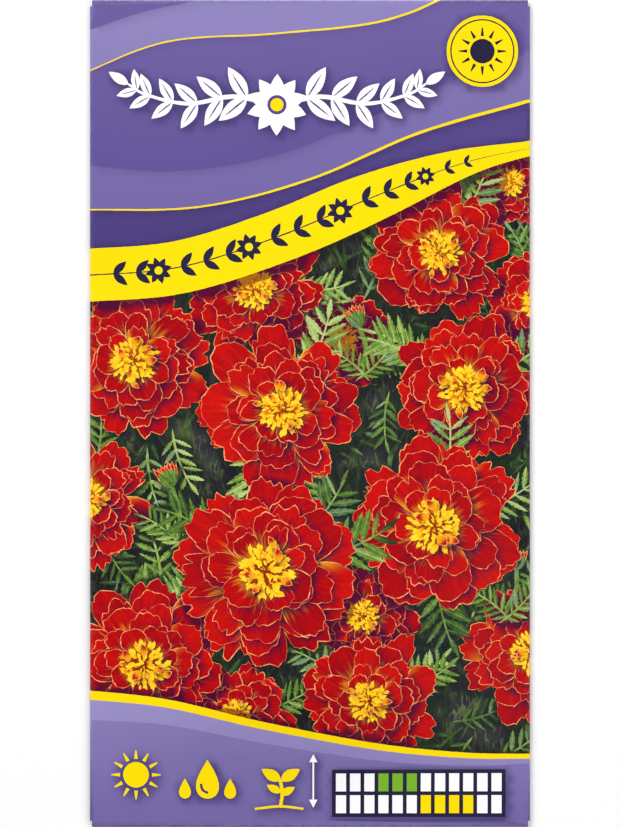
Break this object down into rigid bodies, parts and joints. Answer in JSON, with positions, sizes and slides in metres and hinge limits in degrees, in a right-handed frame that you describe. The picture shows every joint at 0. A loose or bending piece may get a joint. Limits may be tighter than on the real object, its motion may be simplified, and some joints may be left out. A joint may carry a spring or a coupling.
{
  "type": "seed packet",
  "caption": "Flat folded paper seed packet with a printed flower front, a glued lap seam, end flaps and loose seeds inside, lying on its back.",
  "frame": {"origin": "under the middle of the packet, on the surface that it rests on", "axes": "+X across the packet to its right side seen from the front, +Y up the front to the top fold, +Z out of the printed front"},
  "size_m": [0.08, 0.1504, 0.0042],
  "materials": {
    "printed_paper": "satin",
    "dried_glue": "satin",
    "seed_coat": "matte"
  },
  "bodies": {
    "root": {"folded_sheet": "printed_paper", "seam_glue": "dried_glue", "bottom_flap_glue": "dried_glue", "top_flap_glue": "dried_glue", "seed_01": "seed_coat", "seed_02": "seed_coat", "seed_03": "seed_coat", "seed_04": "seed_coat", "seed_05": "seed_coat", "seed_06": "seed_coat", "seed_07": "seed_coat", "seed_08": "seed_coat", "seed_09": "seed_coat", "seed_10": "seed_coat", "seed_11": "seed_coat", "seed_12": "seed_coat", "seed_13": "seed_coat", "seed_14": "seed_coat", "seed_15": "seed_coat", "seed_16": "seed_coat", "seed_17": "seed_coat", "seed_18": "seed_coat", "seed_19": "seed_coat", "seed_20": "seed_coat", "seed_21": "seed_coat", "seed_22": "seed_coat", "seed_23": "seed_coat", "seed_24": "seed_coat", "seed_25": "seed_coat", "seed_26": "seed_coat", "seed_27": "seed_coat", "seed_28": "seed_coat", "seed_29": "seed_coat", "seed_30": "seed_coat", "seed_31": "seed_coat", "seed_32": "seed_coat", "seed_33": "seed_coat", "seed_34": "seed_coat", "seed_35": "seed_coat", "seed_36": "seed_coat", "seed_37": "seed_coat", "seed_38": "seed_coat", "seed_39": "seed_coat", "seed_40": "seed_coat"}
  },
  "joints": []
}
